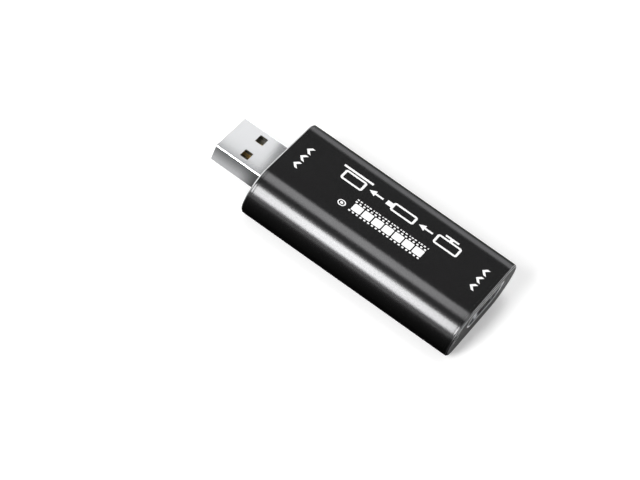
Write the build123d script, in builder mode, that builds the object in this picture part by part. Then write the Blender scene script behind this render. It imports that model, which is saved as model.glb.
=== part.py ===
from build123d import *
import os

os.makedirs("parts", exist_ok=True)

# A slim stick that takes a video plug in the socket at one end and has a type A plug at the other.
# X runs across the stick, +Y points from the video socket to the output plug, and +Z is up.
# The origin is under the middle of the whole stick, on the surface that it lies on.
# Every length is in millimetres.

# Fits
seat_gap = 0.02
slip_gap = 0.08

# Output plug
plug_width = 12.0
plug_height = 4.5
plug_wall = 0.3
plug_corner = 0.6
plug_lip = 0.14
plug_reach = 12.9
plug_root = 7.0
plug_window_width = 2.5
plug_window_length = 2.0
plug_window_front = 5.2
plug_window_x = 3.05
plug_seam = 0.12
plug_tongue_height = 1.9
plug_tongue_recess = 0.5
plug_tongue_bevel = 0.35
plug_block_reach = 2.2
plug_contact_width = 1.0
plug_contact_thickness = 0.16
plug_contact_inner_x = 1.0
plug_contact_outer_x = 3.5
plug_contact_recess = 1.3
plug_contact_inner_setback = 1.0
plug_foot_length = 1.3
plug_tab_width = 1.6
plug_tab_reach = 1.5
plug_tab_front = 1.6
plug_tab_pitch = 3.2

# Circuit board
board_arm = 3.35
board_thickness = 1.0
board_lift = 0.35
board_side_gap = 0.1
board_end_gap = 0.3
board_corner = 0.5
notch_gap = 0.15
tail_gap = 0.5
leg_tail = 0.6

# Video socket
mouth_width = 14.0
mouth_height = 4.55
mouth_side = 2.72
mouth_step_in = 0.65
mouth_step_down = 0.75
mouth_floor_in = 2.05
mouth_corner = 0.4
socket_wall = 0.35
socket_depth = 11.0
socket_recess = 0.05
cavity_depth = 7.2
socket_leg_width = 1.4
socket_leg_front = 3.4
socket_leg_pitch = 4.6
tongue_side_gap = 1.4
tongue_thickness = 0.9
tongue_lift = 0.15
tongue_recess = 1.6
tongue_bevel = 0.2
pin_pitch = 1.0
pin_width = 0.3
pin_thickness = 0.14
pin_recess = 0.5
pin_foot_length = 0.9
upper_pin_count = 10
lower_pin_count = 9

# Spring fingers in the roof of the socket
finger_x = 2.25
finger_width = 1.2
finger_thickness = 0.2
finger_length = 5.0
finger_front = 0.8
finger_drop = 0.75
finger_curl_length = 0.55
finger_curl_rise = 0.3
finger_bend = 0.25
finger_side_gap = 0.12
finger_tip_gap = 0.35
finger_root_gap = 0.05

# Housing, a length of extruded tube
housing_wall = 1.3
tube_length = 51.5
floor_gap = 1.35
roof_gap = 0.98
rim_chamfer = 0.25
port_ring = 0.75
port_side = 1.78
port_slot = 0.8
port_web = 1.6
rail_thickness = 1.0
rail_overlap = 0.7

# End plates and their screws
plate_thickness = 1.0
plate_inset = 0.12
plate_chamfer = 0.22
screw_radius = 1.0
screw_length = 5.0
screw_point = 0.6
screw_head_radius = 1.55
screw_sink = 0.1
recess_span = 1.7
recess_width = 0.4
recess_depth = 0.45

# Capture chip, a square package with leads on four sides
chip_size = 7.0
chip_height = 1.4
chip_standoff = 0.1
chip_bevel = 0.15
chip_lead_count = 12
chip_lead_pitch = 0.5
chip_lead_width = 0.22
dot_radius = 0.35
dot_depth = 0.1

# Memory chip and voltage regulators, with leads on two sides
memory_width = 3.9
memory_length = 4.9
memory_height = 1.3
memory_lead_count = 4
memory_lead_pitch = 1.27
memory_lead_width = 0.4
regulator_width = 1.6
regulator_length = 2.9
regulator_height = 1.1
regulator_lead_count = 3
regulator_lead_pitch = 0.95
regulator_lead_width = 0.4

# Leads of all the packages
lead_thickness = 0.14
lead_shoulder = 0.25
lead_slope = 0.2
lead_foot = 0.5

# Crystal, coil, fuse and protection arrays
crystal_length = 3.2
crystal_width = 2.5
crystal_base_height = 0.5
crystal_lid_height = 0.3
crystal_lid_margin = 0.2
coil_size = 3.0
coil_height = 1.2
coil_corner = 0.6
fuse_length = 3.2
fuse_width = 1.6
fuse_height = 0.7
array_length = 2.5
array_width = 1.0
array_height = 0.55

# Small two-ended parts
capacitor_length = 1.6
capacitor_width = 0.8
capacitor_height = 0.8
resistor_length = 1.0
resistor_width = 0.5
resistor_height = 0.35
terminal_length = 0.3
resistor_pitch = 1.1
resistor_count = 8

# Places on the board, as shares of the free bay's length and of the board's half width
array_row_shares = (0.10, 0.36)
resistor_row_share = 0.045
chip_place_shares = (0.37, 0.0)
memory_place_shares = (0.76, -0.42)
crystal_place_shares = (0.63, 0.62)
coil_place_shares = (0.75, 0.26)
fuse_place_shares = (0.93, -0.52)
regulator_places_shares = ((0.91, 0.62), (0.11, -0.80))
capacitor_places_shares = (
    (0.12, 0.84), (0.22, 0.76), (0.34, 0.80), (0.46, 0.80),
    (0.26, -0.78), (0.38, -0.78), (0.50, -0.78), (0.93, 0.10),
)

# Heights, from the floor of the stick upwards
plug_z = housing_wall + floor_gap + plug_height / 2
board_top = plug_z + board_lift
board_bottom = board_top - board_thickness
board_face = board_top + seat_gap
socket_z = board_face + socket_wall + mouth_height / 2
socket_top = socket_z + mouth_height / 2 + socket_wall
body_height = socket_top + roof_gap + housing_wall
mid_z = body_height / 2
leg_bottom = board_bottom - leg_tail

# Places across the stick
board_width = plug_width + 2 * (notch_gap + board_arm)
port_bore = screw_radius + seat_gap
port_radius = port_bore + port_ring
port_x = board_width / 2 + board_side_gap + port_radius
body_width = 2 * (port_x + port_side + housing_wall)

# Places along the stick
total_length = tube_length + 2 * plate_thickness + plug_reach
input_face = -total_length / 2
tube_start = input_face + plate_thickness
tube_end = tube_start + tube_length
output_face = tube_end + plate_thickness
plug_tip = output_face + plug_reach
plug_back = output_face - plug_root
board_start = tube_start + board_end_gap
board_end = tube_end - board_end_gap
notch_end = plug_back - tail_gap
socket_front = input_face + socket_recess
socket_back = socket_front + socket_depth
block_front = socket_front + cavity_depth
bay_start = socket_back + pin_thickness + pin_foot_length
bay_end = notch_end - plug_foot_length
bay_length = bay_end - bay_start


def board_place(place_shares):
    return (place_shares[1] * board_width / 2, bay_start + place_shares[0] * bay_length)


# Outline of the socket's mouth, wide at the top and drawn in below
mouth_half = mouth_width / 2
mouth_top = mouth_height / 2
side_foot = mouth_top - mouth_side
right_side = [
    (mouth_half, mouth_top),
    (mouth_half, side_foot),
    (mouth_half - mouth_step_in, side_foot - mouth_step_down),
    (mouth_half - mouth_floor_in, -mouth_top),
]
left_side = [(-x, z) for x, z in reversed(right_side)]
with BuildSketch() as socket_mouth:
    with BuildLine():
        FilletPolyline(*right_side, *left_side, radius=mouth_corner, close=True)
    make_face()

# Housing tube, with a screw port and a board rail down each side
rail_inner_x = board_width / 2 - rail_overlap
rail_outer_x = body_width / 2 - housing_wall
rail_top = board_bottom - seat_gap
with BuildPart() as housing_tube:
    with BuildSketch(Plane.XZ.offset(-tube_start)):
        with Locations((0, mid_z)):
            SlotOverall(body_width, body_height)
            SlotOverall(
                body_width - 2 * housing_wall, body_height - 2 * housing_wall, mode=Mode.SUBTRACT
            )
        web_x = (port_x + rail_outer_x + housing_wall / 2) / 2
        with Locations((-web_x, mid_z), (web_x, mid_z)):
            Rectangle(rail_outer_x + housing_wall / 2 - port_x, port_web)
        with Locations((-port_x, mid_z), (port_x, mid_z)):
            Circle(port_radius)
        rail_x = (rail_inner_x + rail_outer_x) / 2
        with Locations((-rail_x, rail_top), (rail_x, rail_top)):
            Rectangle(
                rail_outer_x - rail_inner_x, rail_thickness, align=(Align.CENTER, Align.MAX)
            )
        with Locations((0, mid_z)):
            SlotOverall(body_width, body_height, mode=Mode.INTERSECT)
        with Locations((-port_x, mid_z), (port_x, mid_z)):
            Circle(port_bore, mode=Mode.SUBTRACT)
        slot_x = port_x - port_radius / 2
        with Locations((-slot_x, mid_z), (slot_x, mid_z)):
            Rectangle(port_radius, port_slot, mode=Mode.SUBTRACT)
    extrude(amount=-tube_length)
    tube_ends = housing_tube.faces().sort_by(Axis.Y)
    chamfer(tube_ends[0].outer_wire().edges() + tube_ends[-1].outer_wire().edges(), rim_chamfer)
housing_tube.part.label = "housing_tube"
export_step(housing_tube.part, "parts/housing_tube.step")

# End plate round the video socket
input_plane = Plane.XZ.offset(-input_face)
plate_width = body_width - 2 * plate_inset
plate_height = body_height - 2 * plate_inset
sink_radius = screw_head_radius + screw_sink + seat_gap
with BuildPart(input_plane) as input_end_plate:
    with BuildSketch(input_plane):
        with Locations((0, mid_z)):
            SlotOverall(plate_width, plate_height)
    extrude(amount=-plate_thickness)
    plate_rim = input_end_plate.faces().sort_by(Axis.Y)[0].outer_wire().edges()
    chamfer(plate_rim, plate_chamfer)
    with BuildSketch(input_plane):
        with Locations((0, socket_z)):
            add(socket_mouth.sketch)
        offset(amount=socket_wall + slip_gap)
    extrude(amount=-plate_thickness, mode=Mode.SUBTRACT)
    with Locations((-port_x, mid_z), (port_x, mid_z)):
        CounterSinkHole(screw_radius + slip_gap, sink_radius, counter_sink_angle=90)
input_end_plate.part.label = "input_end_plate"
export_step(input_end_plate.part, "parts/input_end_plate.step")

# End plate round the output plug
with BuildPart() as output_end_plate:
    with BuildSketch(Plane.XZ.offset(-output_face)):
        with Locations((0, mid_z)):
            SlotOverall(plate_width, plate_height)
    extrude(amount=plate_thickness)
    plate_rim = output_end_plate.faces().sort_by(Axis.Y)[-1].outer_wire().edges()
    chamfer(plate_rim, plate_chamfer)
    with BuildSketch(Plane.XZ.offset(-output_face)):
        with Locations((0, plug_z)):
            RectangleRounded(
                plug_width + 2 * slip_gap, plug_height + 2 * slip_gap, plug_corner + slip_gap
            )
    extrude(amount=plate_thickness, mode=Mode.SUBTRACT)
    for side in (-1, 1):
        with Locations(Location((side * port_x, output_face, mid_z), (-90, 0, 0))):
            CounterSinkHole(screw_radius + slip_gap, sink_radius, counter_sink_angle=90)
output_end_plate.part.label = "output_end_plate"
export_step(output_end_plate.part, "parts/output_end_plate.step")

# Countersunk screw with a cross recess, its head level with the origin and its point up
head_depth = screw_head_radius - screw_radius
with BuildPart() as plate_screw:
    with BuildSketch(Plane.XZ):
        with BuildLine():
            Polyline(
                (0, 0),
                (screw_head_radius, 0),
                (screw_radius, head_depth),
                (screw_radius, screw_length - screw_point),
                (screw_radius - screw_point, screw_length),
                (0, screw_length),
                close=True,
            )
        make_face()
    revolve(axis=Axis.Z)
    with BuildSketch(Plane.XY):
        Rectangle(recess_span, recess_width)
        Rectangle(recess_width, recess_span)
    extrude(amount=recess_depth, mode=Mode.SUBTRACT)

with BuildPart() as input_plate_screws:
    for side in (-1, 1):
        head_place = (side * port_x, input_face + screw_sink, mid_z)
        with Locations(Location(head_place, (-90, 0, 0))):
            add(plate_screw.part)
input_plate_screws.part.label = "input_plate_screws"
export_step(input_plate_screws.part, "parts/input_plate_screws.step")

with BuildPart() as output_plate_screws:
    for side in (-1, 1):
        head_place = (side * port_x, output_face - screw_sink, mid_z)
        with Locations(Location(head_place, (90, 0, 0))):
            add(plate_screw.part)
output_plate_screws.part.label = "output_plate_screws"
export_step(output_plate_screws.part, "parts/output_plate_screws.step")

# Circuit board, notched for the plug and pierced for the legs of both connectors
socket_leg_x = mouth_half + socket_wall / 2
socket_leg_places = []
for row in (0, 1):
    leg_y = socket_front + socket_leg_front + row * socket_leg_pitch
    socket_leg_places += [(-socket_leg_x, leg_y), (socket_leg_x, leg_y)]
plug_leg_x = plug_width / 2 + plug_tab_reach - plug_wall / 2
plug_tab_rows = []
for row in (0, 1):
    plug_tab_rows.append(plug_back + plug_tab_front + row * plug_tab_pitch)
plug_leg_places = [(side * plug_leg_x, tab_y) for tab_y in plug_tab_rows for side in (-1, 1)]
with BuildPart() as circuit_board:
    with BuildSketch(Plane.XY.offset(board_bottom)):
        with Locations((0, board_start)):
            Rectangle(board_width, board_end - board_start, align=(Align.CENTER, Align.MIN))
        fillet(vertices(), board_corner)
        with Locations((0, board_end)):
            Rectangle(
                plug_width + 2 * notch_gap,
                board_end - notch_end,
                align=(Align.CENTER, Align.MAX),
                mode=Mode.SUBTRACT,
            )
        with Locations(*socket_leg_places):
            Rectangle(
                socket_wall + 2 * slip_gap, socket_leg_width + 2 * slip_gap, mode=Mode.SUBTRACT
            )
        with Locations(*plug_leg_places):
            Rectangle(plug_wall + 2 * slip_gap, plug_tab_width + 2 * slip_gap, mode=Mode.SUBTRACT)
    extrude(amount=board_thickness)
circuit_board.part.label = "circuit_board"
export_step(circuit_board.part, "parts/circuit_board.step")

# Video socket shell, folded sheet with two windows in its roof and four legs
finger_tip_y = socket_front + finger_front
finger_root_y = finger_tip_y + finger_length
with BuildPart() as video_socket_shell:
    with BuildSketch(Plane.XZ.offset(-socket_front)):
        with Locations((0, socket_z)):
            add(socket_mouth.sketch)
        offset(amount=socket_wall)
        with Locations((0, socket_z)):
            add(socket_mouth.sketch, mode=Mode.SUBTRACT)
    extrude(amount=-socket_depth)
    with BuildSketch(Plane.XY.offset(socket_top)):
        with Locations((-finger_x, finger_root_y), (finger_x, finger_root_y)):
            Rectangle(
                finger_width + 2 * finger_side_gap,
                finger_length + finger_tip_gap,
                align=(Align.CENTER, Align.MAX),
            )
    extrude(amount=-(socket_wall + slip_gap), mode=Mode.SUBTRACT)
    with BuildSketch(Plane.XY.offset(leg_bottom)):
        with Locations(*socket_leg_places):
            Rectangle(socket_wall, socket_leg_width)
    extrude(amount=socket_z - leg_bottom)
video_socket_shell.part.label = "video_socket_shell"
export_step(video_socket_shell.part, "parts/video_socket_shell.step")

# Spring fingers, rooted behind the windows, with their tips curled up near the mouth
finger_root_z = socket_top - socket_wall / 2
finger_low_z = finger_root_z - finger_drop
with BuildPart() as spring_finger:
    with BuildSketch(Plane.YZ):
        with BuildLine():
            FilletPolyline(
                (finger_root_y - finger_root_gap, finger_root_z),
                (finger_tip_y + finger_curl_length, finger_low_z),
                (finger_tip_y, finger_low_z + finger_curl_rise),
                radius=finger_bend,
            )
        trace(line_width=finger_thickness)
    extrude(amount=finger_width / 2, both=True)

with BuildPart() as left_socket_spring:
    with Locations((-finger_x, 0, 0)):
        add(spring_finger.part)
left_socket_spring.part.label = "left_socket_spring"
export_step(left_socket_spring.part, "parts/left_socket_spring.step")

with BuildPart() as right_socket_spring:
    with Locations((finger_x, 0, 0)):
        add(spring_finger.part)
right_socket_spring.part.label = "right_socket_spring"
export_step(right_socket_spring.part, "parts/right_socket_spring.step")

# Contact strips of the video socket, along the tongue, down behind the block and out on the board
tongue_z = socket_z + tongue_lift
pin_offset = tongue_thickness / 2 + seat_gap + pin_thickness / 2
pin_tip_y = socket_front + tongue_recess + pin_recess
pin_drop_y = socket_back + pin_thickness / 2 + seat_gap
pin_foot_z = board_face + pin_thickness / 2


def contact_row(level_z, count):
    with BuildPart() as one_contact:
        with BuildSketch(Plane.YZ):
            with BuildLine():
                Polyline(
                    (pin_tip_y, level_z),
                    (pin_drop_y, level_z),
                    (pin_drop_y, pin_foot_z),
                    (pin_drop_y + pin_foot_length, pin_foot_z),
                )
            trace(line_width=pin_thickness)
        extrude(amount=pin_width / 2, both=True)
    with BuildPart() as row:
        with GridLocations(pin_pitch, 0, count, 1):
            add(one_contact.part)
    return row.part


upper_pin_z = tongue_z + pin_offset
lower_pin_z = tongue_z - pin_offset
with BuildPart() as video_socket_upper_contacts:
    add(contact_row(upper_pin_z, upper_pin_count))
video_socket_upper_contacts.part.label = "video_socket_upper_contacts"
export_step(video_socket_upper_contacts.part, "parts/video_socket_upper_contacts.step")

with BuildPart() as video_socket_lower_contacts:
    add(contact_row(lower_pin_z, lower_pin_count))
video_socket_lower_contacts.part.label = "video_socket_lower_contacts"
export_step(video_socket_lower_contacts.part, "parts/video_socket_lower_contacts.step")

# Insulator of the video socket, a block that fills the shell's back and carries the tongue
with BuildPart() as video_socket_insulator:
    with BuildSketch(Plane.XZ.offset(-block_front)):
        with Locations((0, socket_z)):
            add(socket_mouth.sketch)
        offset(amount=-seat_gap)
    extrude(amount=block_front - socket_back)
    tongue_front = socket_front + tongue_recess
    with BuildSketch(Plane.XZ.offset(-block_front)):
        with Locations((0, tongue_z)):
            Rectangle(mouth_width - 2 * tongue_side_gap, tongue_thickness)
    extrude(amount=block_front - tongue_front)
    tongue_tip = video_socket_insulator.faces().sort_by(Axis.Y)[0]
    chamfer(tongue_tip.edges().filter_by(Axis.X), tongue_bevel)
    slot_width = pin_width + 2 * seat_gap
    slot_height = pin_thickness + 2 * seat_gap
    with BuildSketch(Plane.XZ.offset(-block_front)):
        with Locations((0, upper_pin_z)):
            with GridLocations(pin_pitch, 0, upper_pin_count, 1):
                Rectangle(slot_width, slot_height)
        with Locations((0, lower_pin_z)):
            with GridLocations(pin_pitch, 0, lower_pin_count, 1):
                Rectangle(slot_width, slot_height)
    extrude(amount=block_front - socket_back, mode=Mode.SUBTRACT)
video_socket_insulator.part.label = "video_socket_insulator"
export_step(video_socket_insulator.part, "parts/video_socket_insulator.step")

# Output plug shell, folded sheet with latch windows above and below and a seam underneath
with BuildPart() as output_plug_shell:
    with BuildSketch(Plane.XZ.offset(-plug_back)):
        with Locations((0, plug_z)):
            RectangleRounded(plug_width, plug_height, plug_corner)
            RectangleRounded(
                plug_width - 2 * plug_wall,
                plug_height - 2 * plug_wall,
                plug_corner - plug_wall,
                mode=Mode.SUBTRACT,
            )
    extrude(amount=plug_back - plug_tip)
    tip_face = output_plug_shell.faces().sort_by(Axis.Y)[-1]
    fillet(tip_face.outer_wire().edges(), plug_lip)
    window_y = plug_tip - plug_window_front - plug_window_length / 2
    with BuildSketch(Plane.XY.offset(plug_z)):
        with Locations((-plug_window_x, window_y), (plug_window_x, window_y)):
            Rectangle(plug_window_width, plug_window_length)
    extrude(amount=plug_height, both=True, mode=Mode.SUBTRACT)
    with BuildSketch(Plane.XY.offset(plug_z)):
        with Locations((0, plug_back)):
            Rectangle(plug_seam, plug_tip - plug_back, align=(Align.CENTER, Align.MIN))
    extrude(amount=-plug_height, mode=Mode.SUBTRACT)
    with BuildSketch(Plane.XY.offset(board_face)):
        for side in (-1, 1):
            for tab_y in plug_tab_rows:
                tab_x = side * (plug_width / 2 - plug_wall + (plug_tab_reach + plug_wall) / 2)
                with Locations((tab_x, tab_y)):
                    Rectangle(plug_tab_reach + plug_wall, plug_tab_width)
    extrude(amount=plug_wall)
    with BuildSketch(Plane.XY.offset(leg_bottom)):
        with Locations(*plug_leg_places):
            Rectangle(plug_wall, plug_tab_width)
    extrude(amount=board_face + plug_wall - leg_bottom)
output_plug_shell.part.label = "output_plug_shell"
export_step(output_plug_shell.part, "parts/output_plug_shell.step")

# Output plug contacts, along the tongue, up through the notch and out on the board
plug_floor = plug_z - plug_height / 2 + plug_wall + seat_gap
plug_tongue_top = plug_floor + plug_tongue_height
plug_contact_z = plug_tongue_top + seat_gap + plug_contact_thickness / 2
plug_rise_y = plug_back - tail_gap / 2
plug_foot_z = board_face + plug_contact_thickness / 2
plug_contact_rows = [
    (plug_contact_outer_x, plug_tip - plug_contact_recess),
    (plug_contact_inner_x, plug_tip - plug_contact_recess - plug_contact_inner_setback),
]
with BuildPart() as output_plug_contacts:
    for contact_x, contact_tip in plug_contact_rows:
        for side in (-1, 1):
            with BuildSketch(Plane.YZ.offset(side * contact_x)):
                with BuildLine():
                    Polyline(
                        (contact_tip, plug_contact_z),
                        (plug_rise_y, plug_contact_z),
                        (plug_rise_y, plug_foot_z),
                        (notch_end - plug_foot_length, plug_foot_z),
                    )
                trace(line_width=plug_contact_thickness)
            extrude(amount=plug_contact_width / 2, both=True)
output_plug_contacts.part.label = "output_plug_contacts"
export_step(output_plug_contacts.part, "parts/output_plug_contacts.step")

# Output plug insulator, a block in the shell's root and the tongue under the contacts
plug_inner_width = plug_width - 2 * (plug_wall + seat_gap)
plug_inner_height = plug_height - 2 * (plug_wall + seat_gap)
with BuildPart() as output_plug_insulator:
    with BuildSketch(Plane.XZ.offset(-plug_back)):
        with Locations((0, plug_z)):
            RectangleRounded(plug_inner_width, plug_inner_height, plug_corner - plug_wall)
    extrude(amount=-(plug_root + plug_block_reach))
    with BuildSketch(Plane.XZ.offset(-plug_back)):
        with Locations((0, plug_z)):
            RectangleRounded(plug_inner_width, plug_inner_height, plug_corner - plug_wall)
        with Locations((0, plug_tongue_top)):
            Rectangle(
                plug_inner_width,
                plug_inner_height,
                align=(Align.CENTER, Align.MIN),
                mode=Mode.SUBTRACT,
            )
    extrude(amount=-(plug_tip - plug_tongue_recess - plug_back))
    plug_tongue_tip = output_plug_insulator.faces().sort_by(Axis.Y)[-1]
    chamfer(plug_tongue_tip.edges().filter_by(Axis.X).sort_by(Axis.Z)[-1], plug_tongue_bevel)
    with BuildSketch(Plane.XZ.offset(-plug_back)):
        for contact_x, contact_tip in plug_contact_rows:
            with Locations((-contact_x, plug_tongue_top), (contact_x, plug_tongue_top)):
                Rectangle(
                    plug_contact_width + 2 * seat_gap,
                    plug_contact_thickness + 2 * seat_gap,
                    align=(Align.CENTER, Align.MIN),
                )
    extrude(amount=-(plug_root + plug_block_reach), mode=Mode.SUBTRACT)
output_plug_insulator.part.label = "output_plug_insulator"
export_step(output_plug_insulator.part, "parts/output_plug_insulator.step")


# Packages with bent leads
def bent_lead(body_half, package_height, lead_width):
    # One lead that leaves the body half way up and comes down to a foot on the board.
    leave_z = board_face + chip_standoff + package_height / 2
    foot_z = board_face + lead_thickness / 2
    with BuildPart() as lead:
        with BuildSketch(Plane.XZ):
            with BuildLine():
                Polyline(
                    (body_half, leave_z),
                    (body_half + lead_shoulder, leave_z),
                    (body_half + lead_shoulder + lead_slope, foot_z),
                    (body_half + lead_shoulder + lead_slope + lead_foot, foot_z),
                )
            trace(line_width=lead_thickness)
        extrude(amount=lead_width / 2, both=True)
    return lead.part


def package_body(width, length, height, places):
    # Moulded bodies with a bevelled top and a dot beside the first lead.
    with BuildPart() as bodies:
        with BuildSketch(Plane.XY.offset(board_face + chip_standoff)):
            with Locations(*places):
                Rectangle(width, length)
        extrude(amount=height)
        top_faces = bodies.faces().filter_by(Axis.Z).group_by(Axis.Z)[-1]
        chamfer(top_faces.edges(), chip_bevel)
        dot_inset = chip_bevel + 2 * dot_radius
        with BuildSketch(Plane.XY.offset(board_face + chip_standoff + height)):
            for place in places:
                dot_x = place[0] - width / 2 + dot_inset
                with Locations((dot_x, place[1] + length / 2 - dot_inset)):
                    Circle(dot_radius)
        extrude(amount=-dot_depth, mode=Mode.SUBTRACT)
    return bodies.part


def package_leads(lead, sides, pitch, count, places):
    # Rows of leads, on two or on four sides of each place.
    with BuildPart() as leads:
        for place in places:
            for side in range(sides):
                turn = 360 * side / sides
                with Locations(Location((place[0], place[1], 0), (0, 0, turn))):
                    with GridLocations(0, pitch, 1, count):
                        add(lead)
    return leads.part


chip_place = [board_place(chip_place_shares)]
memory_place = [board_place(memory_place_shares)]
regulator_places = [board_place(shares) for shares in regulator_places_shares]

with BuildPart() as capture_chip:
    add(package_body(chip_size, chip_size, chip_height, chip_place))
capture_chip.part.label = "capture_chip"
export_step(capture_chip.part, "parts/capture_chip.step")

chip_lead = bent_lead(chip_size / 2, chip_height, chip_lead_width)
with BuildPart() as capture_chip_leads:
    add(package_leads(chip_lead, 4, chip_lead_pitch, chip_lead_count, chip_place))
capture_chip_leads.part.label = "capture_chip_leads"
export_step(capture_chip_leads.part, "parts/capture_chip_leads.step")

with BuildPart() as memory_chip:
    add(package_body(memory_width, memory_length, memory_height, memory_place))
memory_chip.part.label = "memory_chip"
export_step(memory_chip.part, "parts/memory_chip.step")

memory_lead = bent_lead(memory_width / 2, memory_height, memory_lead_width)
with BuildPart() as memory_chip_leads:
    add(package_leads(memory_lead, 2, memory_lead_pitch, memory_lead_count, memory_place))
memory_chip_leads.part.label = "memory_chip_leads"
export_step(memory_chip_leads.part, "parts/memory_chip_leads.step")

with BuildPart() as voltage_regulators:
    add(package_body(regulator_width, regulator_length, regulator_height, regulator_places))
voltage_regulators.part.label = "voltage_regulators"
export_step(voltage_regulators.part, "parts/voltage_regulators.step")

regulator_lead = bent_lead(regulator_width / 2, regulator_height, regulator_lead_width)
with BuildPart() as voltage_regulator_leads:
    add(
        package_leads(
            regulator_lead, 2, regulator_lead_pitch, regulator_lead_count, regulator_places
        )
    )
voltage_regulator_leads.part.label = "voltage_regulator_leads"
export_step(voltage_regulator_leads.part, "parts/voltage_regulator_leads.step")

# Crystal, a ceramic tray with a metal lid
with BuildPart() as crystal_base:
    with BuildSketch(Plane.XY.offset(board_face)):
        with Locations(board_place(crystal_place_shares)):
            Rectangle(crystal_width, crystal_length)
    extrude(amount=crystal_base_height)
crystal_base.part.label = "crystal_base"
export_step(crystal_base.part, "parts/crystal_base.step")

with BuildPart() as crystal_lid:
    with BuildSketch(Plane.XY.offset(board_face + crystal_base_height + seat_gap)):
        with Locations(board_place(crystal_place_shares)):
            RectangleRounded(
                crystal_width - 2 * crystal_lid_margin,
                crystal_length - 2 * crystal_lid_margin,
                crystal_lid_margin,
            )
    extrude(amount=crystal_lid_height)
crystal_lid.part.label = "crystal_lid"
export_step(crystal_lid.part, "parts/crystal_lid.step")

# Choke coil in a square moulded case, and the resettable fuse on the plug's supply
with BuildPart() as power_coil:
    with BuildSketch(Plane.XY.offset(board_face)):
        with Locations(board_place(coil_place_shares)):
            RectangleRounded(coil_size, coil_size, coil_corner)
    extrude(amount=coil_height)
    chamfer(power_coil.faces().sort_by(Axis.Z)[-1].edges(), chip_bevel)
power_coil.part.label = "power_coil"
export_step(power_coil.part, "parts/power_coil.step")

with BuildPart() as supply_fuse:
    with BuildSketch(Plane.XY.offset(board_face)):
        with Locations(board_place(fuse_place_shares)):
            Rectangle(fuse_length, fuse_width)
    extrude(amount=fuse_height)
supply_fuse.part.label = "supply_fuse"
export_step(supply_fuse.part, "parts/supply_fuse.step")

# Protection arrays beside the socket's contacts
with BuildPart() as protection_arrays:
    with BuildSketch(Plane.XY.offset(board_face)):
        for side in (-1, 1):
            with Locations(board_place((array_row_shares[0], side * array_row_shares[1]))):
                Rectangle(array_length, array_width)
    extrude(amount=array_height)
protection_arrays.part.label = "protection_arrays"
export_step(protection_arrays.part, "parts/protection_arrays.step")


# Two-ended parts, a body between two metal ends
def body_bars(width, length, height, places):
    with BuildPart() as bars:
        with BuildSketch(Plane.XY.offset(board_face)):
            with Locations(*places):
                Rectangle(width, length - 2 * terminal_length - 2 * seat_gap)
        extrude(amount=height)
    return bars.part


def end_caps(width, length, height, places):
    with BuildPart() as caps:
        with BuildSketch(Plane.XY.offset(board_face)):
            for place in places:
                for end in (-1, 1):
                    cap_y = place[1] + end * (length - terminal_length) / 2
                    with Locations((place[0], cap_y)):
                        Rectangle(width, terminal_length)
        extrude(amount=height)
    return caps.part


capacitor_places = [board_place(shares) for shares in capacitor_places_shares]
with BuildPart() as capacitor_bodies:
    add(body_bars(capacitor_width, capacitor_length, capacitor_height, capacitor_places))
capacitor_bodies.part.label = "capacitor_bodies"
export_step(capacitor_bodies.part, "parts/capacitor_bodies.step")

with BuildPart() as capacitor_terminals:
    add(end_caps(capacitor_width, capacitor_length, capacitor_height, capacitor_places))
capacitor_terminals.part.label = "capacitor_terminals"
export_step(capacitor_terminals.part, "parts/capacitor_terminals.step")

resistor_y = board_place((resistor_row_share, 0))[1]
resistor_places = []
for index in range(resistor_count):
    resistor_places.append(((index - (resistor_count - 1) / 2) * resistor_pitch, resistor_y))
with BuildPart() as resistor_bodies:
    add(body_bars(resistor_width, resistor_length, resistor_height, resistor_places))
resistor_bodies.part.label = "resistor_bodies"
export_step(resistor_bodies.part, "parts/resistor_bodies.step")

with BuildPart() as resistor_terminals:
    add(end_caps(resistor_width, resistor_length, resistor_height, resistor_places))
resistor_terminals.part.label = "resistor_terminals"
export_step(resistor_terminals.part, "parts/resistor_terminals.step")
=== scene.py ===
from math import hypot, pi, radians

import bmesh
import bpy
from mathutils import Matrix, Vector


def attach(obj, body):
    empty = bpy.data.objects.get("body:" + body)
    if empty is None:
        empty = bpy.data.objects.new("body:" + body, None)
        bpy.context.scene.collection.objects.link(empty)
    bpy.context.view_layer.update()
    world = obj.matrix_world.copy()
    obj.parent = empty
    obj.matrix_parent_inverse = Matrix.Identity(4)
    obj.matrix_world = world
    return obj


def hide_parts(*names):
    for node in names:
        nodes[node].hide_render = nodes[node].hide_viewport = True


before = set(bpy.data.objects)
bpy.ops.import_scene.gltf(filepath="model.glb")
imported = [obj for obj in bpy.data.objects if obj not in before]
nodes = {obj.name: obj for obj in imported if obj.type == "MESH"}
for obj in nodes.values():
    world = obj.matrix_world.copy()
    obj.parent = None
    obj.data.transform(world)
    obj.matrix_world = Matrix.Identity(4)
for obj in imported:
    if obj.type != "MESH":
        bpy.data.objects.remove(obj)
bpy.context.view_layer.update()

mm = 0.001
tube_low = Vector((-14.45, -32.2, 0)) * mm
tube_high = Vector((14.45, 19.3, 12.8)) * mm
middle_z = (tube_low.z + tube_high.z) / 2
middle_y = (tube_low.y + tube_high.y) / 2
input_face = -33.2 * mm
output_face = 20.3 * mm

# Slack in tests of place, and the share of a direction that counts as along an axis
near_nothing = 0.01 * mm
aligned = 0.9

# The housing's parts, in metres as all of the scene
housing_wall = 1.3 * mm
saw_break = 0.01 * mm
port_x = 11.37 * mm
port_radius = 1.77 * mm
port_bore = 1.02 * mm
port_web = 1.6 * mm
port_slot = 0.8 * mm
rail_inner_x = 8.8 * mm
rail_short = 0.6 * mm
rail_top = 4.23 * mm
rail_thickness = 1.0 * mm
plate_inset = 0.02 * mm
plate_thickness = 1.0 * mm
plate_rim = 0.3 * mm
# Width of the painted highlight band along each ridge of the plates' rim
ridge_highlight_width = 0.06 * mm
sink_wide = 1.8 * mm
sink_narrow = 0.8 * mm
sink_proud = 0.13 * mm
hole_radius = 1.08 * mm

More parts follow.
